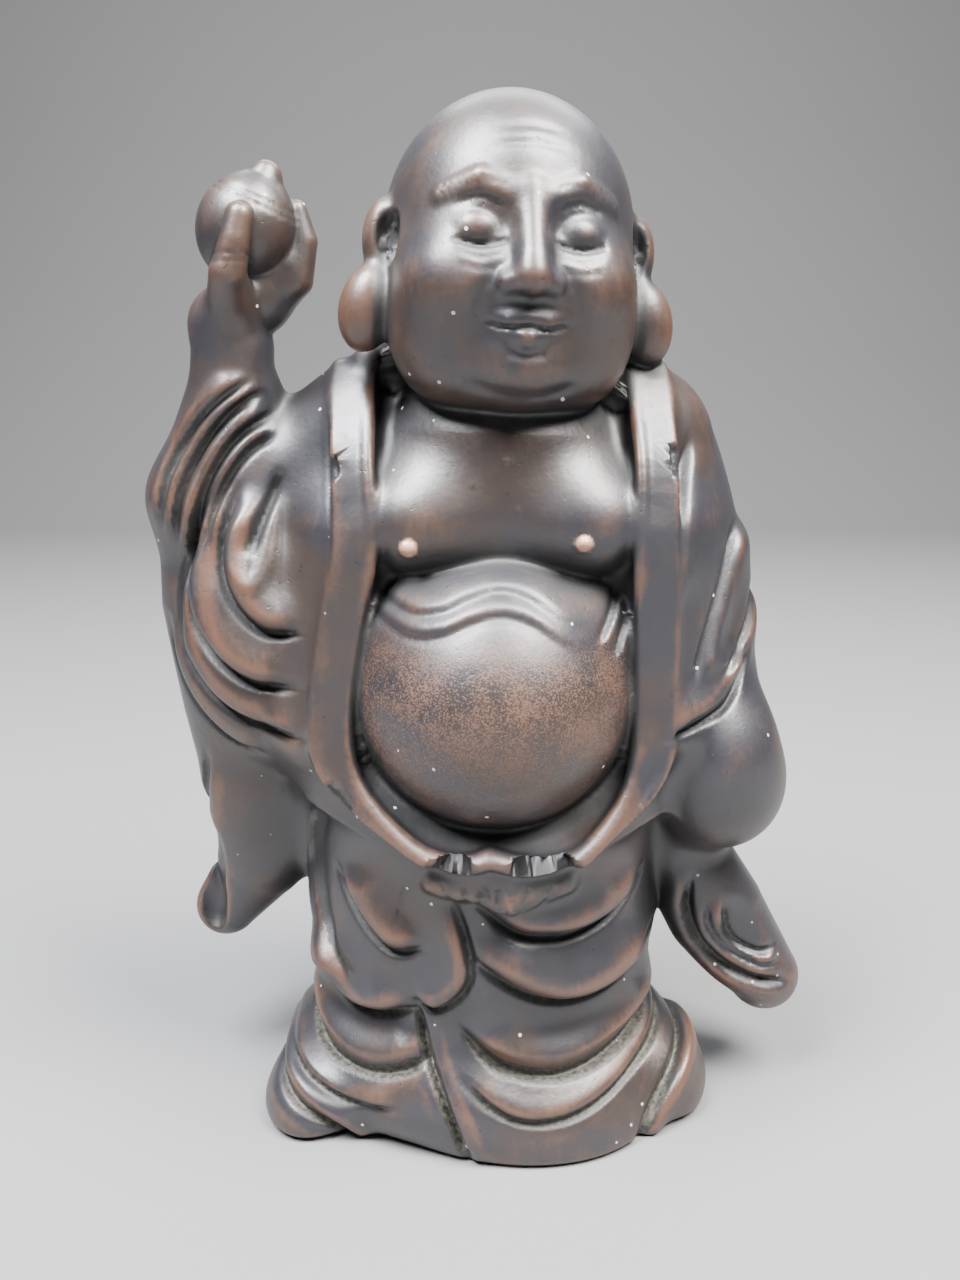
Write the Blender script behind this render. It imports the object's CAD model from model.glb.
# Looks of the standing Hotei figure: a fine mesh over the fired-clay body, its worn dark finish,
# a pale floor, soft light and the camera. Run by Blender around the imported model.
import math

import bmesh
import bpy
import numpy as np
from mathutils import Matrix, Vector


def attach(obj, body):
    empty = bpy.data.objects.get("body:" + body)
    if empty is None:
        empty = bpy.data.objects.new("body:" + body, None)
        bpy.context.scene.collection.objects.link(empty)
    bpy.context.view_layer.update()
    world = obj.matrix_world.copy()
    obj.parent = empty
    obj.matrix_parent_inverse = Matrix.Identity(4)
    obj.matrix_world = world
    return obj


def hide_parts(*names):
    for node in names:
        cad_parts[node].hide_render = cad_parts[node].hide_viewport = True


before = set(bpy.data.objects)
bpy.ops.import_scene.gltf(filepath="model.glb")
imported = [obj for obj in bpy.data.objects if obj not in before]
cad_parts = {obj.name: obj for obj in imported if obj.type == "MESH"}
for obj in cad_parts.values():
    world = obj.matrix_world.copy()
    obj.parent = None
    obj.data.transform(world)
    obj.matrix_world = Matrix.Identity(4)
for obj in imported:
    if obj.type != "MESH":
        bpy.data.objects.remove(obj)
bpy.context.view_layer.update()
nodeName = "hotei_statue"

# Everything about the figure's form is in parts of its height, 300 to the whole.
figure = {
    "height": 300.0,                 # parts from the floor to the crown
    "standCentre": (3.1, -7.6, 0),   # the middle of the box, which is the frame's origin
    "fineness": 0.9,                 # size of the remesh, in parts
    "quickFineness": 1.7,
    "stages": ((2.0, 3), (1.4, 2), (1.0, 2)),   # how coarse each remesh is, and its rounds of settling
    "triangles": 194000,
    "longestMove": 2.5,              # the farthest a point goes in one round of settling
    "leastSlope": 0.2,               # keeps a move short where the form is flat
    "slopeStep": 0.15,
    "clothReach": (0.6, 2.6),        # folds die away between these distances from the cloth
    "hemRounding": 4.0,
    "hemDrop": 0.4,                  # the hem turns under about a level this far below the floor
}
part = 0.3 / figure["height"]        # one part in metres


# Round forms and how they run together. The last number in join and cut is how softly they meet.
def turning(degrees):
    x, y, z = (Matrix.Rotation(math.radians(a), 3, axis) for a, axis in zip(degrees, "XYZ"))
    return np.array(z @ y @ x)


class Ball:   # an ellipsoid, perhaps turned
    def __init__(self, centre, radii, turn=(0, 0, 0)):
        self.centre = np.array(centre, float)
        self.radii = np.array(radii, float)
        self.axes = turning(turn)

    def away(self, points):
        local = (points - self.centre) @ self.axes
        near = np.sqrt(((local / self.radii)**2).sum(1))
        slope = np.sqrt(((local / self.radii**2)**2).sum(1))
        return near * (near - 1) / np.maximum(slope, 1e-6)


class Limb:   # a round bar through points, its radius changing along it
    def __init__(self, points, radii):
        self.points = np.array(points, float)
        self.radii = np.broadcast_to(np.array(radii, float), len(points))

    def away(self, points):
        best = np.full(len(points), np.inf)
        for a, b, first, last in zip(self.points, self.points[1:], self.radii, self.radii[1:]):
            along = b - a
            share = np.clip((points - a) @ along / (along @ along), 0, 1)
            gap = points - a - share[:, None] * along
            best = np.minimum(best, np.sqrt((gap**2).sum(1)) - first - (last - first) * share)
        return best


def join(a, b, soft):
    h = np.clip(0.5 + 0.5 * (b - a) / soft, 0, 1)
    return b + (a - b) * h - soft * h * (1 - h)


def cut(a, b, soft):
    return -join(-a, b, soft)


def joinAll(masses, points, soft):
    field = masses[0].away(points)
    for mass in masses[1:]:
        field = join(field, mass.away(points), soft)
    return field


def ramp(x, low, high):
    t = np.clip((x - low) / (high - low), 0, 1)
    return t * t * (3 - 2 * t)


def within(points, low, high, away):   # works a form out only where it can matter
    field = np.full(len(points), 40.0)
    near = ((points > low) & (points < high)).all(1)
    if near.any():
        field[near] = away(points[near])
    return field


# Lines of carving, drawn over the front view and read back at any point
def smoothLine(points, count=26):
    p = np.array(points, float)
    p = np.vstack([2 * p[0] - p[1], p, 2 * p[-1] - p[-2]])
    spans = len(p) - 3
    line = []
    for s in np.linspace(0, spans, count):
        i = min(int(s), spans - 1)
        t = s - i
        a, b, c, d = p[i:i + 4]
        line.append(0.5 * (2 * b + (c - a) * t + (2 * a - 5 * b + 4 * c - d) * t**2
                           + (3 * b - a - 3 * c + d) * t**3))
    return np.array(line)


def beside(line, spots):   # distance off a line, above 0 on its right hand, and the share passed
    start = line[:-1]
    run = line[1:] - start
    length = np.sqrt((run**2).sum(1))
    to = spots[:, None] - start
    share = np.clip((to * run).sum(2) / length**2, 0, 1)
    apart = ((to - share[..., None] * run)**2).sum(2)
    near = apart.argmin(1)
    rows = np.arange(len(spots))
    turn = run[near, 0] * to[rows, near, 1] - run[near, 1] * to[rows, near, 0]
    return -np.sign(turn) * np.sqrt(apart[rows, near]), (near + share[rows, near]) / len(run)


class Chart:   # heights over a view, x across and z up
    def __init__(self, step, low, high):
        self.step = step
        self.low = np.array(low, float)
        self.x = np.arange(low[0], high[0], step, float)
        self.z = np.arange(low[1], high[1], step, float)
        self.value = np.zeros((len(self.z), len(self.x)))

    def spots(self, rows=slice(None), columns=slice(None)):
        x, z = np.meshgrid(self.x[columns], self.z[rows])
        return np.stack([x.ravel(), z.ravel()], axis=1)

    def around(self, line, reach):
        lower, upper = line.min(0) - reach, line.max(0) + reach
        columns = slice(*np.searchsorted(self.x, (lower[0], upper[0])))
        rows = slice(*np.searchsorted(self.z, (lower[1], upper[1])))
        off, share = beside(line, self.spots(rows, columns))
        return rows, columns, off, share

    def fold(self, points, wide, rise, dip, fade=0.18, finest=1.15):
        # a full band of cloth on the line's left hand, which rolls under into a crease on the line
        rows, columns, off, share = self.around(smoothLine(points), 3 * wide)
        over = -off / wide - 0.62
        band = np.exp(-(over / np.where(over < 0, 0.42, 0.95))**2)
        crease = np.exp(-(off / max(0.15 * wide, finest))**2)
        ends = ramp(share, 0, fade) * ramp(1 - share, 0, fade)
        shape = self.value[rows, columns].shape
        self.value[rows, columns] += ((rise * band - dip * crease) * ends).reshape(shape)

    def ridge(self, points, wide, high, fade=0.2):   # a plain raised line, or a groove below 0
        rows, columns, off, share = self.around(smoothLine(points), 3 * wide)
        ends = ramp(share, 0, fade) * ramp(1 - share, 0, fade)
        shape = self.value[rows, columns].shape
        self.value[rows, columns] += (high * np.exp(-(off / wide)**2) * ends).reshape(shape)

    def dome(self, place, wide, high):   # a round bump
        spots = self.spots() - place
        self.value += (high * ramp(wide - np.hypot(*spots.T), 0, wide * 0.8)).reshape(self.value.shape)

    def read(self, points):
        place = (points[:, [0, 2]] - self.low) / self.step
        place = np.clip(place, 0, np.array(self.value.shape)[::-1] - 1.001)
        whole = place.astype(int)
        tx, tz = (place - whole).T
        x, z = whole.T
        v = self.value
        below = v[z, x] * (1 - tx) + v[z, x + 1] * tx
        above = v[z + 1, x] * (1 - tx) + v[z + 1, x + 1] * tx
        return below * (1 - tz) + above * tz


bodyView = ((-112, -10), (124, 310))
headView = ((-52, -48), (52, 48))
sides = (-1, 1)

# The head in its own axes, x to the figure's left, turned and tilted on the neck
head = {
    "centre": np.array((8.0, -10.0, 259.5)),
    "axes": turning((0, 3, 8)),
    "skull": [
        Ball((0, 4, 4), (34, 36, 36.5)),
        Ball((0, -5, -12), (31.5, 31, 27)),
        Ball((0, -12, -33), (26, 20, 10)),
        Ball((0, -26, -29), (11, 9, 8)),
        *[Ball((s * 15, -10, -22), (17, 19, 16)) for s in sides],
        *[Ball((s * 17, -22, -10), (11, 11, 10)) for s in sides],
    ],
    "sockets": [Ball((s * 12.5, -36, 3.5), (8.5, 6, 6.2)) for s in sides],
    "eyes": [Ball((s * 12.5, -25, 2), (7.5, 7.2, 5.4)) for s in sides],
    "brow": [Limb([(s * 5, -29.8, 10.5), (s * 12.5, -27.4, 13.6), (s * 21, -22.6, 9.8)], [1.8, 2.3, 1.6])
             for s in sides],
    "nose": [
        Limb([(0, -29.5, 11), (0, -36.6, -5)], [3.2, 4.2]),
        Ball((0, -38, -9), (4.8, 4.8, 4.6)),
        *[Ball((s * 5.2, -35.4, -10.6), (3.2, 4, 3.0)) for s in sides],
        Ball((0, -26.5, -16.2), (10, 10, 7)),
    ],
    "lips": [
        Limb([(-11, -31.5, -17.5), (-4.5, -35, -19.3), (0, -35.6, -19), (4.5, -35, -19.3),
              (11, -31.5, -17.5)], [1.0, 2.2, 2.1, 2.2, 1.0]),
        Limb([(-8.5, -32.5, -20.5), (0, -35.4, -23.2), (8.5, -32.5, -20.5)], [1.2, 2.8, 1.2]),
    ],
    "ears": [Ball((s * 33.5, -2, 0), (6.5, 6, 11), (0, 0, s * 20)) for s in sides],
    "lobes": [Ball((s * 38, -5, -17.5), (7.8, 7.5, 11.5), (0, s * -12, 0)) for s in sides],
    "earHollows": [Ball((s * 33.5, -9, 1), (3.6, 4.5, 7)) for s in sides],
    "earInner": [Limb([(s * 31.8, -7.4, 5), (s * 33.6, -6.6, 0), (s * 32.4, -7.4, -5)], [0.8, 1.1, 0.9])
                 for s in sides],
    "box": ((-60, -70, 200), (75, 60, 320)),
}


def carveFace():   # lids, brows, lip line and the soft creases round them
    chart = Chart(0.25, *headView)
    for s in sides:
        lid = [(12.5 + u * 7.2, -0.4 - 1.6 * (1 - u * u)) for u in (-1, -0.5, 0, 0.5, 1)]
        lid = [(s * x, z) for x, z in lid][::s]
        chart.fold(lid, 2.2, 0.35, 0.8, 0.1, 0.6)
        for lift, deep, bow in ((6.0, -0.45, 2.2), (-4.4, -0.3, -1.8), (-7.2, -0.25, -1.6)):
            socketLine = [(s * (12.5 + u * 6.6), 1 + lift + bow * (1 - u * u)) for u in (-1, 0, 1)]
            chart.ridge(socketLine, 0.8, deep)
        cheek = [(s * 8.8, -8), (s * 13, -13.5), (s * 16, -21)]
        chart.fold(cheek[::s], 4.5, 0.5, 0.3, 0.35)
        chart.ridge([(s * 8.4, -7), (s * 9.4, -10.5), (s * 8.0, -13.4)], 0.8, -0.4)
        for i in range(12):
            t = i / 11
            x, z = 6 + 15 * t, 12.2 + 4.6 * t - 6.6 * t * t
            chart.ridge([(s * x, z - 1.1), (s * (x + 1.0), z + 0.2), (s * (x + 2.1), z + 1.3)], 0.35, -0.3)
    chart.ridge([(-12, -19.6), (-6, -21), (0, -20.7), (6, -21), (12, -19.6)], 0.7, -0.8, 0.15)
    chart.ridge([(0, -14), (0, -17.4)], 1.4, -0.25)
    chart.ridge([(-6, -26.6), (0, -27.6), (6, -26.6)], 1.6, -0.6)
    chart.ridge([(-17, -34), (0, -37.5), (17, -34)], 1.8, -0.8)
    for rise, reach in ((21, 14), (25.5, 11)):
        chart.ridge([(-reach, rise), (0, rise + 1.6), (reach, rise)], 1.1, -0.35, 0.35)
    return chart


faceChart = carveFace()


def headForm(points):
    local = (points - head["centre"]) @ head["axes"]
    form = joinAll(head["skull"], local, 9)
    for socket in head["sockets"]:
        form = cut(form, socket.away(local), 4)
    form = join(form, joinAll(head["eyes"], local, 1), 1)
    form = join(form, joinAll(head["brow"], local, 1), 3)
    form = join(form, joinAll(head["nose"], local, 2.5), 3)
    form = join(form, joinAll(head["lips"], local, 0.6), 2)
    form -= faceChart.read(local) * ramp(-local[:, 1], 4, 14)
    ears = join(joinAll(head["ears"], local, 1), joinAll(head["lobes"], local, 1), 3.5)
    form = join(form, ears, 2.5)
    for hollow in head["earHollows"]:
        form = cut(form, hollow.away(local), 1.2)
    return join(form, joinAll(head["earInner"], local, 1), 1)


# The bare chest and belly
torso = {
    "chest": [
        Limb([(7, -3, 236), (6, -3, 212)], [23, 30]),
        Ball((6, -3, 193), (43, 33, 33)),
        Ball((-15, -18, 187.5), (23, 22, 17)),
        Ball((28, -18, 187.5), (22, 22, 17)),
    ],
    "belly": [Ball((4, -17, 138), (41.5, 47, 41)), Ball((5, -13, 157), (43, 36, 22))],
    "nipples": [((-19, 182.5), 3.0, 1.7), ((27.5, 184), 2.8, 1.6)],
    "specks": [((7, 205), 1.1, 0.7), ((10, 192), 1.0, 0.6), ((-29.5, 183), 1.7, 1.2),
               ((-2, 199), 0.8, 0.4)],
    "wave": [(-35, 177), (-29, 169), (-19, 165), (-10, 166), (-3, 169), (5, 171), (13, 169), (22, 163),
             (31, 159)],           # the skin's line under the breast
    "waves": ((1, 1.2), (-4.5, 1.0)),   # how far above that line each fold lies, and how full it is
    "box": ((-60, -90, 80), (75, 50, 265)),
}


def carveSkin():   # waves of the belly under the breast, and its faint navel
    chart = Chart(0.4, *bodyView)
    for lift, rise in torso["waves"]:
        chart.fold([(x, z + lift) for x, z in torso["wave"]], 5, rise, 0.45, 0.3)
    for line in ([(38, 170), (35, 164), (31, 158)], [(41, 164), (38, 159), (36, 153)]):
        chart.fold(line, 2.6, 0.8, 1.2)
    chart.ridge([(-2, 123), (6, 121.5), (14, 123)], 1.4, -0.35)
    for place, wide, high in torso["nipples"] + torso["specks"]:
        chart.dome(place, wide, high)
    return chart


skinChart = carveSkin()


def torsoForm(points):
    form = join(joinAll(torso["chest"], points, 9), joinAll(torso["belly"], points, 8), 2.5)
    return form - skinChart.read(points) * ramp(-points[:, 1], 8, 16)


# The open robe: its masses, the edge round chest and belly, and every fold
robe = {
    "trunk": [
        Limb([(-30, 2, 208), (44, 2, 206)], [24, 24]),
        Ball((4, 1, 165), (60, 41, 66)),
        Ball((3, 0, 105), (54, 44, 50)),
        Ball((5, -18, 120), (49, 38, 36)),
        Ball((5, -18, 95), (32, 34, 11)),
        Ball((1.5, 0, 62), (55, 46, 62)),
        Ball((1, -3, 14), (62, 49, 30)),
        Ball((-53, -24, 5), (15, 19, 13)),
        Ball((59, -16, 7), (14, 19, 15)),
        Ball((18, -30, 2), (34, 23, 16)),
    ],
    "raisedSleeve": [
        Limb([(-36, 2, 204), (-64, 1, 194), (-80, -2, 192)], [20, 20, 14]),
        Limb([(-80, -2, 192), (-70, -4, 222)], [15, 13]),
        Limb([(-80, 0, 188), (-81, 0, 160), (-77, 1, 128), (-74, 2, 98)], [15, 15, 15, 13]),
        Ball((-58, 0, 152), (29, 31, 47)),
        Limb([(-70, 3, 100), (-72, 4, 74), (-84, 6, 55)], [14, 13, 8]),
        Limb([(-56, 3, 100), (-60, 4, 80), (-84, 6, 55)], [12, 10, 8]),
    ],
    "raisedMouth": Ball((-88, -3, 74), (6.5, 7, 25), (0, -4, 30)),
    "loweredSleeve": [
        Limb([(44, 2, 204), (60, 2, 172), (63, -2, 130)], [21, 21, 22]),
        Limb([(62, -8, 128), (72, -11, 106)], [20, 21]),
        Ball((71, -14, 117), (17.5, 20, 19)),
        Limb([(60, -2, 88), (77, -2, 58), (93, -4, 35)], [13, 15, 11.5]),
    ],
    "loweredMouth": Ball((84, -20, 56), (11, 7, 24), (0, 28, -10)),
    "leftEdge": [(-31, -6, 231), (-30, -29, 207), (-29, -36, 183), (-33.5, -36, 160), (-37, -38, 134),
                 (-34, -43, 117), (-20, -51, 103), (-9, -54, 98.5), (-2, -54, 98.5), (2.5, -54, 100)],
    "rightEdge": [(42, -6, 227), (43, -29, 205), (43, -36, 183), (44, -36, 158), (44, -38, 132),
                  (41, -43, 115), (30, -51, 102), (21, -54, 98), (11, -54, 98), (2.5, -54, 100)],
    "edgeTop": 229.0,          # where the edges end on the shoulders
    "edgeRound": (2.2, 1.4),   # under the belly, and up the chest
    "edgeDeep": (3.2, 4.2),    # from the edge back to the lining inside it, at the same two places
    "edgeChange": (106, 140),  # heights between which those two places meet
    "edgeBacking": 3.8,        # half the depth of cloth behind the edge
    "edgeBalls": 90,
    "liningSlope": 0.5,
    "bandWide": 9.0,           # the flat strip along the edge, out to its seam
    "bandRound": 1.25,
    "bandSpan": (5, 4),        # how far behind the edge its middle lies, and half its depth
    "bandGrow": (96, 125),     # heights over which it reaches its width
    "foldClear": (3.0, 7.0),   # folds die away between these distances from the edge
    "besideStart": 0.3,        # the cloth beyond the strip starts this far behind the edge
    "besideBend": 0.013,       # and falls away with the square of its distance,
    "besideRound": 25.0,       # faster beyond this
    "besideReach": (104.0, 128.0, 186.0, 216.0),   # heights where it comes in and goes
    "besideFall": 18,
    "besideDeep": 30,
    "besideSpan": (14, 22),    # how far off the edge its middle lies, and half its width
    "backFrom": (0, 14),       # the front's folds give way to the back's between these places
    "raisedBox": ((-130, -60, 20), (10, 60, 260)),
    "loweredBox": ((0, -60, 0), (130, 60, 250)),
    "collar": Limb([(-31, -8, 231), (-29, 6, 234), (-16, 21, 234), (7, 28, 233), (31, 21, 231),
                    (42, 6, 229), (42, -8, 227)], 3.6),
}

# Folds as (line in the front view, width, rise of the band, depth of the crease)
frontFolds = [
    # cuff of the raised arm, its folds fanning from under the wrist
    ([(-91, 182), (-87, 199), (-79, 212), (-71, 220), (-62, 226)], 3.6, 1.6, 1.8),
    ([(-87, 178), (-83, 195), (-76, 208), (-68, 217), (-59, 223)], 3.6, 1.8, 2.2),
    ([(-82, 172), (-79, 189), (-73, 202), (-66, 211), (-57, 217)], 3.6, 1.8, 2.2),
    ([(-77, 176), (-74, 190), (-69, 200), (-63, 207), (-56, 211)], 3.2, 1.4, 1.8),
    # swags of the raised sleeve
    ([(-66, 200), (-71, 184), (-71, 171), (-66, 162), (-58, 157), (-46, 158)], 7, 3.4, 2.6),
    ([(-72, 200), (-79, 186), (-82, 172), (-80, 158), (-73, 148), (-62, 142), (-46, 142)], 7.5, 3.4, 2.8),
    ([(-80, 186), (-86, 168), (-86, 152), (-80, 140), (-70, 132), (-57, 128), (-46, 129)], 7, 2.8, 2.2),
    ([(-92, 160), (-90, 143), (-84, 131), (-74, 122), (-62, 117)], 6, 2.0, 1.6),
    # the lowered sleeve
    ([(50, 129), (60, 131), (68, 134), (74, 140), (79, 152)], 7, 3.0, 2.4),
    ([(74, 188), (69, 172), (64, 158), (59, 142)], 5, 1.8, 1.6),
    ([(58, 212), (54, 195), (53, 183), (52, 165)], 4.5, 1.2, 1.6),
    ([(82, 168), (79, 157), (74, 149), (66, 143)], 4, 1.2, 1.4),
    ([(101, 37), (89, 40), (79, 43), (70, 52), (65, 64), (66, 80)], 5.5, 2.5, 2.4),
    ([(95, 50), (87, 49), (79, 54), (75, 70)], 3.6, 1.4, 1.4),
    ([(98, 44), (88, 45), (79, 49), (72, 58), (70, 70)], 3.2, 1.0, 1.2),
    # curves of cloth over the left leg
    ([(-6, 88), (7, 75), (17, 71), (29, 70), (42, 75), (52, 86)], 9, 4.6, 2.8),
    ([(-6, 68), (8, 56), (21, 49), (33, 48), (45, 52), (57, 62)], 9.5, 5.2, 3.0),
    ([(-9, 44), (1, 33), (11, 28), (24, 26), (39, 28), (53, 33), (63, 44)], 9, 4.4, 2.6),
    ([(-8, 29), (2, 20), (13, 15), (27, 15), (41, 19), (53, 25), (62, 32)], 4.5, 1.8, 1.8),
    # and over the right leg
    ([(-44, 86), (-38, 75), (-31, 67), (-24, 64), (-14, 68)], 8.5, 3.4, 2.4),
    ([(-56, 58), (-47, 47), (-39, 41), (-30, 41), (-16, 47)], 8.5, 4.6, 2.8),
    ([(-62, 38), (-53, 29), (-45, 25), (-34, 24), (-22, 27), (-12, 33)], 7.5, 3.8, 2.4),
    ([(-62, 22), (-50, 17), (-38, 14), (-22, 16)], 4, 1.4, 1.4),
    # feet under the hem, the edge of the panel, the belt's end and the line between the legs
    ([(-66, 18), (-54, 12), (-43, 5), (-34, -4)], 5, 2.4, 2.4),
    ([(72, 30), (61, 20), (53, 10), (47, -2)], 5, 2.4, 2.4),
    ([(-36, 50), (-44, 60), (-48, 72), (-49, 88), (-45, 102)], 5, 2.6, 1.8),
    ([(-22, 50), (-12, 47), (-4, 55), (-3, 66), (-9, 88)], 5, 2.4, 2.2),
    ([(-19, 50), (-16, 34), (-12, 24), (-8, 14), (-2, -2)], 5, 1.6, 3.4),
]
# Seams, the belt's bow and small lines, as (line, width, height)
frontLines = [
    ([(-55, 202), (-58, 194), (-61, 186), (-64, 176)], 1.3, -2.4),
    ([(-61, 197), (-65, 187), (-67, 176), (-63, 170), (-59, 176), (-57, 187), (-54, 196)], 2.4, 1.3),
    ([(-17, 91), (-8, 88), (2, 87)], 3.2, 2.6),
    ([(6, 87), (16, 88), (29, 90)], 3.2, 2.6),
    ([(0, 88), (5, 87), (9, 88)], 4.0, 2.0),
    *[([(x, 91), (x + lean, 88), (x + 2 * lean, 85)], 0.8, -0.7)
      for x, lean in ((-11, 2), (-5, 1), (2, 0), (5, 0), (13, -1), (20, -2))],
    ([(-83, 118), (-86, 98), (-88, 78), (-85, 58)], 1.2, -2.0),
    ([(-80, 112), (-82, 94), (-84, 76), (-82, 62)], 2.6, 0.9),
    ([(-42, 224), (-41, 201), (-40, 184), (-42, 165), (-46, 148)], 0.6, -0.7),
    ([(52, 218), (51.5, 195), (52, 165), (53, 140)], 0.6, -0.7),
]


def carveBack():   # cloth hanging in curves across the back, flatter towards the hem
    chart = Chart(0.5, *bodyView)
    for i, height in enumerate((182, 152, 120, 88, 54, 24)):
        wide = 34 + 3 * i
        sag = 16 - 2 * i
        chart.fold([(5 + wide * s, height + sag * s * s + 2 * s) for s in (-1, -0.5, 0, 0.5, 1)],
                   11, 3.0, 1.4)
    for x, low, high in ((-62, 96, 170), (64, 110, 180)):
        chart.fold([(x, low), (x - 1, (low + high) / 2), (x + 2, high)], 8, 2.4, 1.4)
    return chart


def carveFront():
    chart = Chart(0.4, *bodyView)
    for line, wide, rise, dip in frontFolds:
        chart.fold(line, wide, rise, dip)
    for line, wide, high in frontLines:
        chart.ridge(line, wide, high)
    return chart


def enclosed(outline, spots):   # which spots lie inside a closed outline
    inside = np.zeros(len(spots), bool)
    for (x, z), (nextX, nextZ) in zip(outline, np.roll(outline, -1, axis=0)):
        if z != nextZ:
            crossed = (z > spots[:, 1]) != (nextZ > spots[:, 1])
            inside ^= crossed & (spots[:, 0] < x + (nextX - x) * (spots[:, 1] - z) / (nextZ - z))
    return inside


def chartEdge():   # how far off the robe's edge, below 0 in the opening, and straight up above it
    left, right = (smoothLine(robe[name], 32)[:, [0, 2]] for name in ("leftEdge", "rightEdge"))
    edge = np.vstack([left, right[::-1][1:]])
    edge = np.vstack([edge[:1] + (0, 90), edge, edge[-1:] + (0, 90)])
    chart = Chart(0.8, *bodyView)
    spots = chart.spots()
    side = np.where(enclosed(edge, spots), -1, 1)
    chart.value = (side * np.abs(beside(edge, spots)[0])).reshape(chart.value.shape)
    return chart


def edgeFront(height):   # how far forward the edge stands at a height
    line = smoothLine(robe["leftEdge"][:8], 40)[::-1]
    return np.interp(height, line[:, 2], line[:, 1])


frontChart = carveFront()
backChart = carveBack()
edgeOff = chartEdge()
print("carving charted")


def clothForm(points):   # the robe's masses, before its folds are laid and its opening cut
    off = edgeOff.read(points)
    ahead = points[:, 1] - edgeFront(points[:, 2])
    foot, full, bend, top = robe["besideReach"]
    fall = robe["besideFall"] * (ramp(points[:, 2], bend, top) + 1 - ramp(points[:, 2], foot, full))
    bent = robe["besideBend"] * off * np.abs(off) * (1 + (off / robe["besideRound"])**2)
    cloth = np.maximum(robe["besideStart"] + bent + fall - ahead, ahead - robe["besideDeep"])
    middle, half = robe["besideSpan"]
    cloth = np.maximum(np.maximum(cloth, np.abs(off - middle) - half),
                       np.maximum(foot - points[:, 2], points[:, 2] - top))
    form = join(joinAll(robe["trunk"], points, 12), cloth, 9)
    raised = within(points, *robe["raisedBox"], lambda p: cut(
        joinAll(robe["raisedSleeve"], p, 9), robe["raisedMouth"].away(p), 2))
    form = join(form, raised, 7)
    lowered = within(points, *robe["loweredBox"], lambda p: cut(
        joinAll(robe["loweredSleeve"], p, 8), robe["loweredMouth"].away(p), 3))
    return join(form, lowered, 6)


def foldHeight(points):   # how far the carving stands out from the cloth, clear of the edge
    behind = ramp(points[:, 1], *robe["backFrom"])
    clear = ramp(edgeOff.read(points), *robe["foldClear"])
    return frontChart.read(points) * (1 - behind) * clear + backChart.read(points) * behind


def robeForm(points, folded):
    off = edgeOff.read(points)
    ahead = points[:, 1] - edgeFront(points[:, 2])
    over = np.maximum(points[:, 2] - robe["edgeTop"], 0)
    form = clothForm(points)
    if folded:
        form = form - foldHeight(points)
    rise = ramp(points[:, 2], *robe["edgeChange"])
    deep, roll = (low + (high - low) * rise for low, high in (robe["edgeDeep"], robe["edgeRound"]))
    form = cut(form, np.maximum(off, ahead - deep + robe["liningSlope"] * off), 2)
    half = robe["bandWide"] / 2 * ramp(points[:, 2], *robe["bandGrow"])
    besideBand = np.maximum(np.abs(off - half) - half, 0)
    middle, reach = robe["bandSpan"]
    pastBand = np.maximum(np.abs(ahead - middle) - reach, 0)
    form = join(form, np.sqrt(besideBand**2 + pastBand**2 + over**2) - robe["bandRound"], 4)
    form = join(form, robe["collar"].away(points), 5)
    return join(form, np.sqrt(off**2 + ahead**2 + over**2) - roll, 2)


# The raised hand and the jewel in it
hand = {
    "jewelRadius": 13.5,
    "jewelCentre": np.array((-63.5, -8.0, 265.0)),
    "jewelLean": 22,       # degrees, the tip towards the figure's left
    "ringHeights": (0.5, 0.62),
    "ringWide": 0.45,
    "ringDeep": 0.35,
    "fingers": 4,
    "firstFinger": 8,      # degrees round the jewel
    "fingerTurn": 26,
    "thumbCreases": ((-7.5, 0.5, 0.35), (-9.2, 0.5, 0.3)),   # height, width and depth of each
    "box": ((-110, -50, 190), (-25, 50, 310)),
}


def jewelMasses():
    r, at = hand["jewelRadius"], hand["jewelCentre"]
    return [Ball(at, (r, r, r * 1.1), (0, hand["jewelLean"], 0)),
            Limb([at + (r * 0.2, 0, r * 0.4), at + (r * 0.44, 0, r * 0.98)], [r * 0.75, r * 0.32])]


def handMasses():   # wrist, palm under the jewel, the thumb before it and four fingers behind
    r, at = hand["jewelRadius"], hand["jewelCentre"]
    masses = [
        Limb([(-71, -5, 216), (-69.5, -6, 234)], [12, 11.5]),
        Ball((-71, -8, 240.5), (10, 9.5, 9)),
        Limb([(-70, -8, 243), at + (2, 2, -r - 4)], [8, 8]),
        Limb([(-66, -6, 244), at + (7, 2, -9)], [8, 7]),
        Limb([(-68, -12, 244), at + (-3, -r + 0.5, -12), at + (-0.5, -r - 0.2, -4), at + (1, -r + 0.6, 2)],
             [7, 5.0, 4.0, 3.6]),
    ]
    for i in range(hand["fingers"]):
        lean = math.radians(hand["firstFinger"] + hand["fingerTurn"] * i)
        out = np.array((math.cos(lean), math.sin(lean), 0))
        masses.append(Limb([at + (3, 3, -r - 6), at + out * (r - 1) + (0, 0, -13),
                            at + out * (r + 1.6) + (0, 0, -3), at + out * (r + 0.2) + (0, 0, 5)],
                           [6, 5, 4, 2.8]))
    return masses


jewelForm, palmForm = jewelMasses(), handMasses()


def handForm(points):
    r = hand["jewelRadius"]
    jewel = joinAll(jewelForm, points, 3)
    lean = math.radians(hand["jewelLean"])
    up = (points - hand["jewelCentre"]) @ (math.sin(lean), 0, math.cos(lean))
    for height in hand["ringHeights"]:
        jewel = jewel + hand["ringDeep"] * np.exp(-((up / r - height) * r / hand["ringWide"])**2)
    palm = joinAll(palmForm, points, 3)
    thumb = points - hand["jewelCentre"]
    for height, wide, deep in hand["thumbCreases"]:
        palm = palm + deep * np.exp(-((thumb[:, 2] - height) / wide)**2) * (thumb[:, 1] < -r)
    return join(palm, jewel, 0.8)


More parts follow.
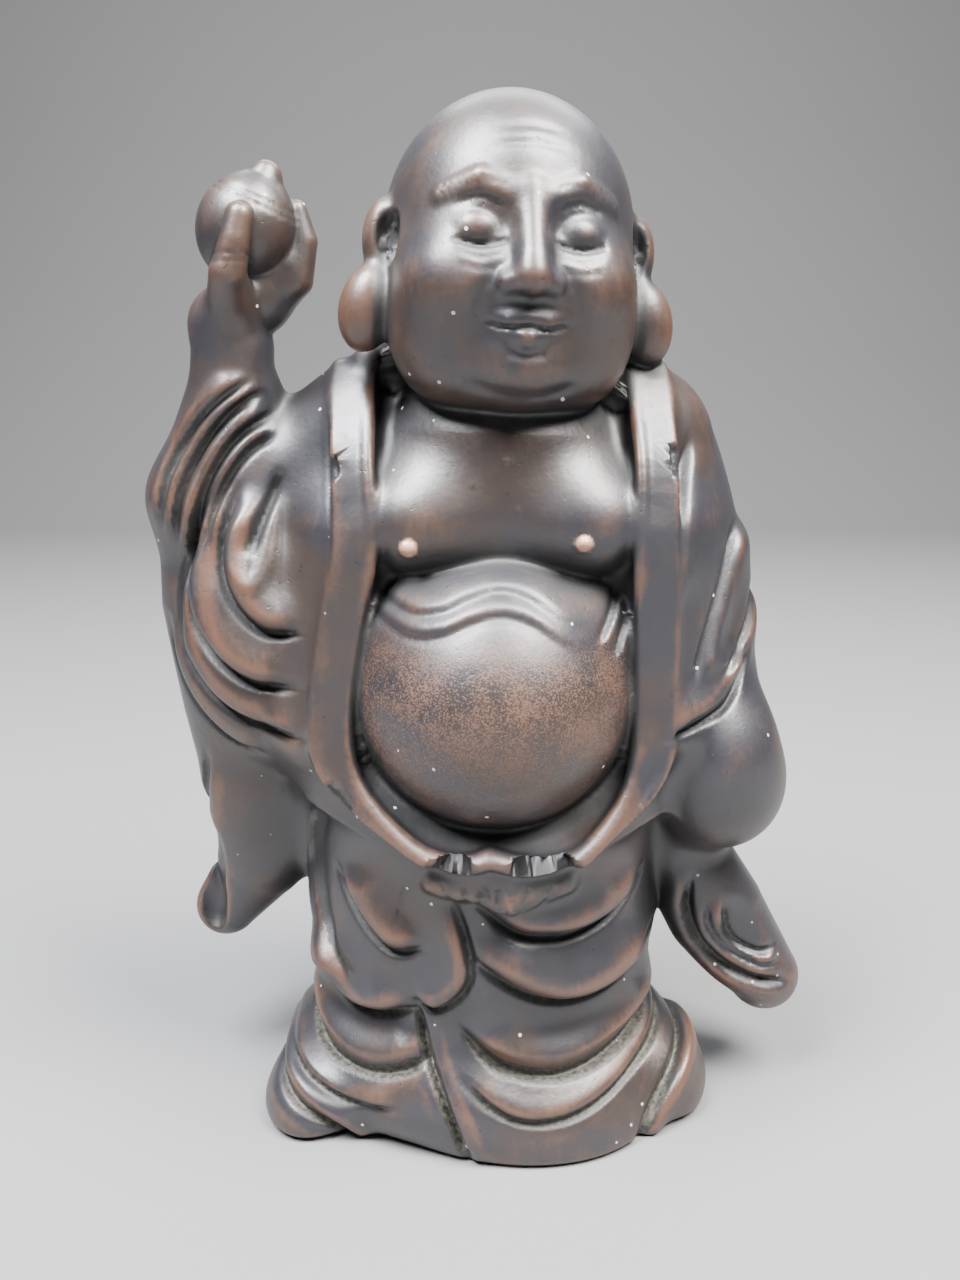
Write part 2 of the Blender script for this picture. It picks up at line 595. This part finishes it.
def figureForm(points, folded=False):   # distance from the figure's skin, in parts, below 0 inside
    field = robeForm(points, folded)
    field = join(field, within(points, *torso["box"], torsoForm), 2.6)
    field = join(field, within(points, *head["box"], headForm), 1.5)
    field = join(field, within(points, *hand["box"], handForm), 1.2)
    return cut(field, points[:, 2] + figure["hemDrop"], figure["hemRounding"])


# The fine mesh: a copy of the solid, remeshed and drawn on to the form
def meshPoints(mesh):
    flat = np.empty(len(mesh.vertices) * 3)
    mesh.vertices.foreach_get("co", flat)
    return flat.reshape(-1, 3) / part + figure["standCentre"]


def putPoints(mesh, points):
    points[:, 2] = np.maximum(points[:, 2], 0)
    mesh.vertices.foreach_set("co", ((points - figure["standCentre"]) * part).ravel())
    mesh.update()


def slopeOf(points, value, folded=False):
    step = figure["slopeStep"]
    rises = [figureForm(points + step * axis, folded) - value for axis in np.eye(3)]
    return np.stack(rises, axis=1) / step


def unit(vectors):
    return vectors / np.maximum(np.sqrt((vectors**2).sum(1, keepdims=True)), 1e-6)


def layFolds(mesh):   # moves the cloth along its own normal, so that no crease can fold over
    points = meshPoints(mesh)
    normal = unit(slopeOf(points, figureForm(points)))
    cloth = 1 - ramp(np.abs(clothForm(points)), *figure["clothReach"])
    putPoints(mesh, points + normal * (foldHeight(points) * cloth)[:, None])


def settle(mesh, rounds):   # draws each point along the form's slope until it lies on the form
    points = meshPoints(mesh)
    for _ in range(rounds):
        value = figureForm(points)
        slope = slopeOf(points, value)
        move = slope * (value / np.maximum((slope**2).sum(1), figure["leastSlope"]))[:, None]
        length = np.sqrt((move**2).sum(1, keepdims=True))
        points -= move * np.minimum(1, figure["longestMove"] / np.maximum(length, 1e-9))
    putPoints(mesh, points)


def applied(obj, kind, **settings):
    modifier = obj.modifiers.new(kind.title(), kind)
    for key, value in settings.items():
        setattr(modifier, key, value)
    graph = bpy.context.evaluated_depsgraph_get()
    mesh = bpy.data.meshes.new_from_object(obj.evaluated_get(graph))
    obj.modifiers.clear()
    obj.data = mesh
    return mesh


def makeFigure():
    bm = bmesh.new()
    bm.from_mesh(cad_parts[nodeName].data)
    bmesh.ops.remove_doubles(bm, verts=bm.verts, dist=1e-6)
    backing = robe["edgeBacking"]   # balls of cloth behind the edge, for the remesh to join
    for name in ("leftEdge", "rightEdge"):
        for place in smoothLine(robe[name], robe["edgeBalls"]):
            spot = (place + (0, backing, 0) - figure["standCentre"]) * part
            bmesh.ops.create_icosphere(bm, subdivisions=2, radius=backing * part,
                                       matrix=Matrix.Translation(spot))
    mesh = bpy.data.meshes.new("hotei_figure")
    bm.to_mesh(mesh)
    bm.free()
    obj = bpy.data.objects.new("hotei_figure", mesh)
    bpy.context.scene.collection.objects.link(obj)
    size = figure["fineness"] * part
    for coarse, rounds in figure["stages"]:
        applied(obj, "REMESH", mode="VOXEL", voxel_size=size * coarse)
        settle(obj.data, rounds)
    layFolds(obj.data)
    faces = sum(len(p.vertices) - 2 for p in obj.data.polygons)
    print("figure settled,", faces, "triangles before thinning")
    applied(obj, "DECIMATE", ratio=min(1, figure["triangles"] / faces))
    obj.data.shade_smooth()
    print("figure mesh", sum(len(p.vertices) - 2 for p in obj.data.polygons), "triangles")
    return obj


# What the finish reads from the form: raised places, edges and hollows
wear = {"edgeReach": 1.6, "swellReach": 6.0, "hollowReach": 6.0,
        "bellyFoot": (102, 114), "bellyTop": (148, 166),   # heights between which the belly is speckled
        "jewel": 0.9, "palm": 0.54}   # how far each is kept from wearing to copper


def measureWear(mesh):
    points = meshPoints(mesh)
    value = figureForm(points, True)
    normal = unit(slopeOf(points, value, True))
    other = np.where(np.abs(normal[:, 2:]) < 0.9, (0.0, 0.0, 1.0), (1.0, 0.0, 0.0))
    across = unit(np.cross(normal, other))
    upward = np.cross(normal, across)
    found = {}
    for name, reach in (("edge", wear["edgeReach"]), ("swell", wear["swellReach"])):
        total = 0
        for angle in (0, 120, 240):
            turn = math.radians(angle)
            way = math.cos(turn) * across + math.sin(turn) * upward
            total = total + figureForm(points + reach * way, True)
        found[name] = (total / 3 - value) / reach
    clear = (figureForm(points + wear["hollowReach"] * normal, True) - value) / wear["hollowReach"]
    found["hollow"] = 1 - np.clip(clear, 0, 1)
    bare = ramp(0.6 - within(points, *torso["box"], torsoForm), 0, 0.4)
    x, y, z = points.T
    found["belly"] = bare * ramp(z, *wear["bellyFoot"]) * (1 - ramp(z, *wear["bellyTop"]))
    found["nipple"] = bare * sum(ramp(wide * 0.95 - np.hypot(x - place[0], z - place[1]), 0, 0.8)
                                 for place, wide, high in torso["nipples"])
    touch = (share * ramp(0.6 - within(points, *hand["box"], lambda p: joinAll(form, p, 3)), 0, 0.5)
             for form, share in ((jewelForm, wear["jewel"]), (palmForm, wear["palm"])))
    found["jewel"] = np.maximum(*touch)
    for name, values in found.items():
        attribute = mesh.attributes.new(name, "FLOAT", "POINT")
        attribute.data.foreach_set("value", values.astype(np.float32))
    print("wear measured")


# Shader maths written as sums
class Wire:
    def __init__(self, tree, socket):
        self.tree = tree
        self.socket = socket

    def maths(self, operation, *values):
        node = self.tree.nodes.new("ShaderNodeMath")
        node.operation = operation
        for i, value in enumerate((self, *values)):
            plug(self.tree, value, node.inputs[i])
        return Wire(self.tree, node.outputs[0])

    def __add__(self, other):
        return self.maths("ADD", other)

    def __sub__(self, other):
        return self.maths("SUBTRACT", other)

    def __mul__(self, other):
        return self.maths("MULTIPLY", other)

    def __rsub__(self, other):
        return (self * -1).maths("ADD", other)

    __radd__ = __add__
    __rmul__ = __mul__


def plug(tree, value, socket):
    if isinstance(value, Wire):
        tree.links.new(value.socket, socket)
    else:
        socket.default_value = value


class Finish:   # a material and the nodes that make it
    def __init__(self, name):
        self.material = bpy.data.materials.new(name)
        self.material.use_nodes = True
        self.tree = self.material.node_tree
        self.shader = self.tree.nodes["Principled BSDF"]

    def node(self, kind, settings=None, sockets=None, out=0):
        node = self.tree.nodes.new("ShaderNode" + kind)
        for key, value in (settings or {}).items():
            setattr(node, key, value)
        for key, value in (sockets or {}).items():
            plug(self.tree, value, node.inputs[key])
        return Wire(self.tree, node.outputs[out])

    def between(self, value, low, high):   # 0 at low, 1 at high, smooth
        return self.node("MapRange", {"interpolation_type": "SMOOTHSTEP"},
                         {"Value": value, "From Min": low, "From Max": high})

    def mix(self, share, first, second):
        return self.node("Mix", {"data_type": "RGBA"}, {0: share, 6: first, 7: second}, 2)

    def noise(self, where, scale, detail=3.0, roughness=0.5, stretch=None):
        if stretch:
            where = self.node("Mapping", None, {"Vector": where, "Scale": stretch})
        return self.node("TexNoise", None, {"Vector": where, "Scale": scale, "Detail": detail,
                                            "Roughness": roughness})

    def attribute(self, name):
        return self.node("Attribute", {"attribute_name": name}, None, 2)

    def feed(self, **sockets):
        for key, value in sockets.items():
            plug(self.tree, value, self.shader.inputs[key.replace("_", " ")])


def rgb(red, green, blue):   # screen values, 0 to 255
    linear = [((c / 255 + 0.055) / 1.055)**2.4 if c > 10 else c / 255 / 12.92 for c in (red, green, blue)]
    return (*linear, 1.0)


clay = {
    "slate": rgb(40, 39, 43),
    "brown": rgb(49, 40, 36),
    "black": rgb(6, 6, 6),
    "copper": rgb(98, 68, 52),
    "paleCopper": rgb(206, 160, 134),
    "dust": rgb(158, 150, 122),
    "speck": rgb(228, 226, 220),
    "metallic": 0.12,
    "specular": 0.8,
    "roughness": 0.4,
    "wornShare": 0.7,
}


def clayFinish():
    f = Finish("dark_fired_clay")
    where = f.node("TexCoord", None, None, 3)
    edge, swell, hollow, belly, nipple, jewel = (
        f.attribute(name) for name in ("edge", "swell", "hollow", "belly", "nipple", "jewel"))
    height = f.node("SeparateXYZ", None, {"Vector": where}, 2)
    cloud = f.noise(where, 24, 4)
    patch = f.noise(where, 85, 5, 0.62)
    grain = f.noise(where, 700, 2)
    fine = f.noise(where, 1900, 1)
    strokes = f.noise(where, 420, 3, 0.6, (1, 1, 0.07))
    # the ground colour, then copper where hands and brush have worn the raised places
    base = f.mix(f.between(cloud + (patch - 0.5) * 0.35, 0.42, 0.62), clay["slate"], clay["brown"])
    worn = f.between(swell * 2.6 + edge * 0.5 + (cloud - 0.5) * 0.9 + (patch - 0.5) * 0.9
                     + (grain - 0.5) * 0.5 + (strokes - 0.5) * 0.7, 0.15, 1.3)
    worn = worn * (1 - jewel * 0.8)
    colour = f.mix(worn * clay["wornShare"], base, clay["copper"])
    speckled = f.between(fine + (patch - 0.5) * 0.5, 0.46, 0.6) * belly
    colour = f.mix(speckled * 0.75, colour, clay["copper"])
    colour = f.mix(f.between(grain + (fine - 0.5) * 0.6, 0.6, 0.72) * belly * 0.5, colour, clay["black"])
    deep = f.between(hollow + (patch - 0.5) * 0.12, 0.16, 0.6)
    colour = f.mix(deep * 0.9, colour, clay["black"])
    # dust that lies in the creases near the floor, pale nipples, and a few white specks
    settled = f.between(hollow + (patch - 0.5) * 0.7, 0.42, 0.7) * f.between(height * -1, -0.075, -0.02)
    colour = f.mix(settled * f.between(grain, 0.3, 0.7) * 0.16, colour, clay["dust"])
    colour = f.mix(nipple, colour, clay["paleCopper"])
    cell = f.node("TexVoronoi", None, {"Vector": where, "Scale": 95.0})
    speck = f.between(cell * -1 + (grain - 0.5) * 0.04, -0.055, -0.04)
    colour = f.mix(speck * 0.7, colour, clay["speck"])
    pit = f.between(f.noise(where, 620, 1), 0.71, 0.8)
    f.feed(Base_Color=f.mix(pit * 0.5, colour, clay["black"]),
           Roughness=clay["roughness"] + (patch - 0.5) * 0.2 + deep * 0.2 + speckled * 0.12 + speck * 0.4)
    f.shader.inputs["Metallic"].default_value = clay["metallic"]
    f.shader.inputs["Specular IOR Level"].default_value = clay["specular"]
    bump = f.node("Bump", None, {"Strength": 0.25, "Distance": 0.0002,
                                 "Height": grain + patch * 1.5 + strokes * 0.8 + speckled * 0.4 - pit})
    f.feed(Normal=bump)
    return f.material


statue = makeFigure()
measureWear(statue.data)
statue.data.materials.clear()
statue.data.materials.append(clayFinish())
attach(statue, "root")
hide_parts(nodeName)
print("figure finished")

# Floor, light and camera
room = {"floor": rgb(118, 118, 118), "floorSize": 3.0, "backdropPlace": 1.1, "backdropRound": 0.6,
        "backdropSteps": 24,
        "sky": (0.86, 0.9, 1.0, 1.0), "skyStrength": 0.045}


def makeFloor():   # a sheet that turns up behind the figure in one round sweep
    bm = bmesh.new()
    half, back, bend = room["floorSize"], room["backdropPlace"], room["backdropRound"]
    first = bm.verts.new((-half, -half, 0))
    second = bm.verts.new((half, -half, 0))
    edge = bm.edges.new((first, second))
    level = bmesh.ops.extrude_edge_only(bm, edges=[edge])["geom"]
    far = [v for v in level if isinstance(v, bmesh.types.BMVert)]
    bmesh.ops.translate(bm, verts=far, vec=(0, half + back, 0))
    bmesh.ops.spin(bm, geom=far + [e for e in level if isinstance(e, bmesh.types.BMEdge)],
                   cent=(0, back, bend), axis=(1, 0, 0), angle=math.radians(90),
                   steps=room["backdropSteps"])
    bm.verts.ensure_lookup_table()
    top = [e for e in bm.edges if e.is_boundary and min(v.co.z for v in e.verts) > bend * 0.99]
    raised = bmesh.ops.extrude_edge_only(bm, edges=top)["geom"]
    crest = [v for v in raised if isinstance(v, bmesh.types.BMVert)]
    bmesh.ops.translate(bm, verts=crest, vec=(0, 0, half))
    bmesh.ops.recalc_face_normals(bm, faces=bm.faces)
    mesh = bpy.data.meshes.new("floor")
    bm.to_mesh(mesh)
    bm.free()
    mesh.shade_smooth()
    floor = bpy.data.objects.new("floor", mesh)
    bpy.context.scene.collection.objects.link(floor)
    finish = Finish("pale_floor")
    finish.feed(Base_Color=room["floor"], Roughness=0.8)
    mesh.materials.append(finish.material)


lamps = {   # place, aim, size and power of each soft light
    "left": {"place": (-0.4, -0.3, 1.15), "aim": (0, 0, 0.17), "size": (0.45, 0.6), "power": 84,
             "tint": (0.93, 0.95, 1.0)},
    "right": {"place": (0.44, -0.28, 1.1), "aim": (0.02, 0, 0.15), "size": (0.5, 0.6), "power": 72,
              "tint": (1.0, 0.98, 0.96)},
    "back": {"place": (0.1, 0.7, 1.0), "aim": (0, 0, 0.15), "size": (0.9, 0.3), "power": 10,
             "tint": (0.95, 0.97, 1.0)},
}


def makeLamps():
    for name, lamp in lamps.items():
        light = bpy.data.lights.new(name, "AREA")
        light.shape = "RECTANGLE"
        light.size, light.size_y = lamp["size"]
        light.energy = lamp["power"]
        light.color = lamp["tint"]
        obj = bpy.data.objects.new(name, light)
        obj.location = lamp["place"]
        aim = Vector(lamp["aim"]) - obj.location
        obj.rotation_euler = aim.to_track_quat("-Z", "Y").to_euler()
        bpy.context.scene.collection.objects.link(obj)
    world = bpy.data.worlds.new("sky")
    world.use_nodes = True
    world.node_tree.nodes["Background"].inputs["Color"].default_value = room["sky"]
    world.node_tree.nodes["Background"].inputs["Strength"].default_value = room["skyStrength"]
    bpy.context.scene.world = world


camera = {"place": (-3.1, -318.4, 234.5), "tilt": 15, "sensor": 36,
          "focalPixels": 1100, "pictureHeight": 1280}


def makeCamera():
    data = bpy.data.cameras.new("camera")
    data.sensor_width = camera["sensor"]
    data.lens = camera["focalPixels"] / camera["pictureHeight"] * camera["sensor"]
    data.clip_start = 0.01
    obj = bpy.data.objects.new("camera", data)
    obj.location = Vector(camera["place"]) * part
    obj.rotation_euler = (math.radians(90 - camera["tilt"]), 0, 0)
    bpy.context.scene.collection.objects.link(obj)
    bpy.context.scene.camera = obj


makeFloor()
makeLamps()
makeCamera()
print("scene ready")
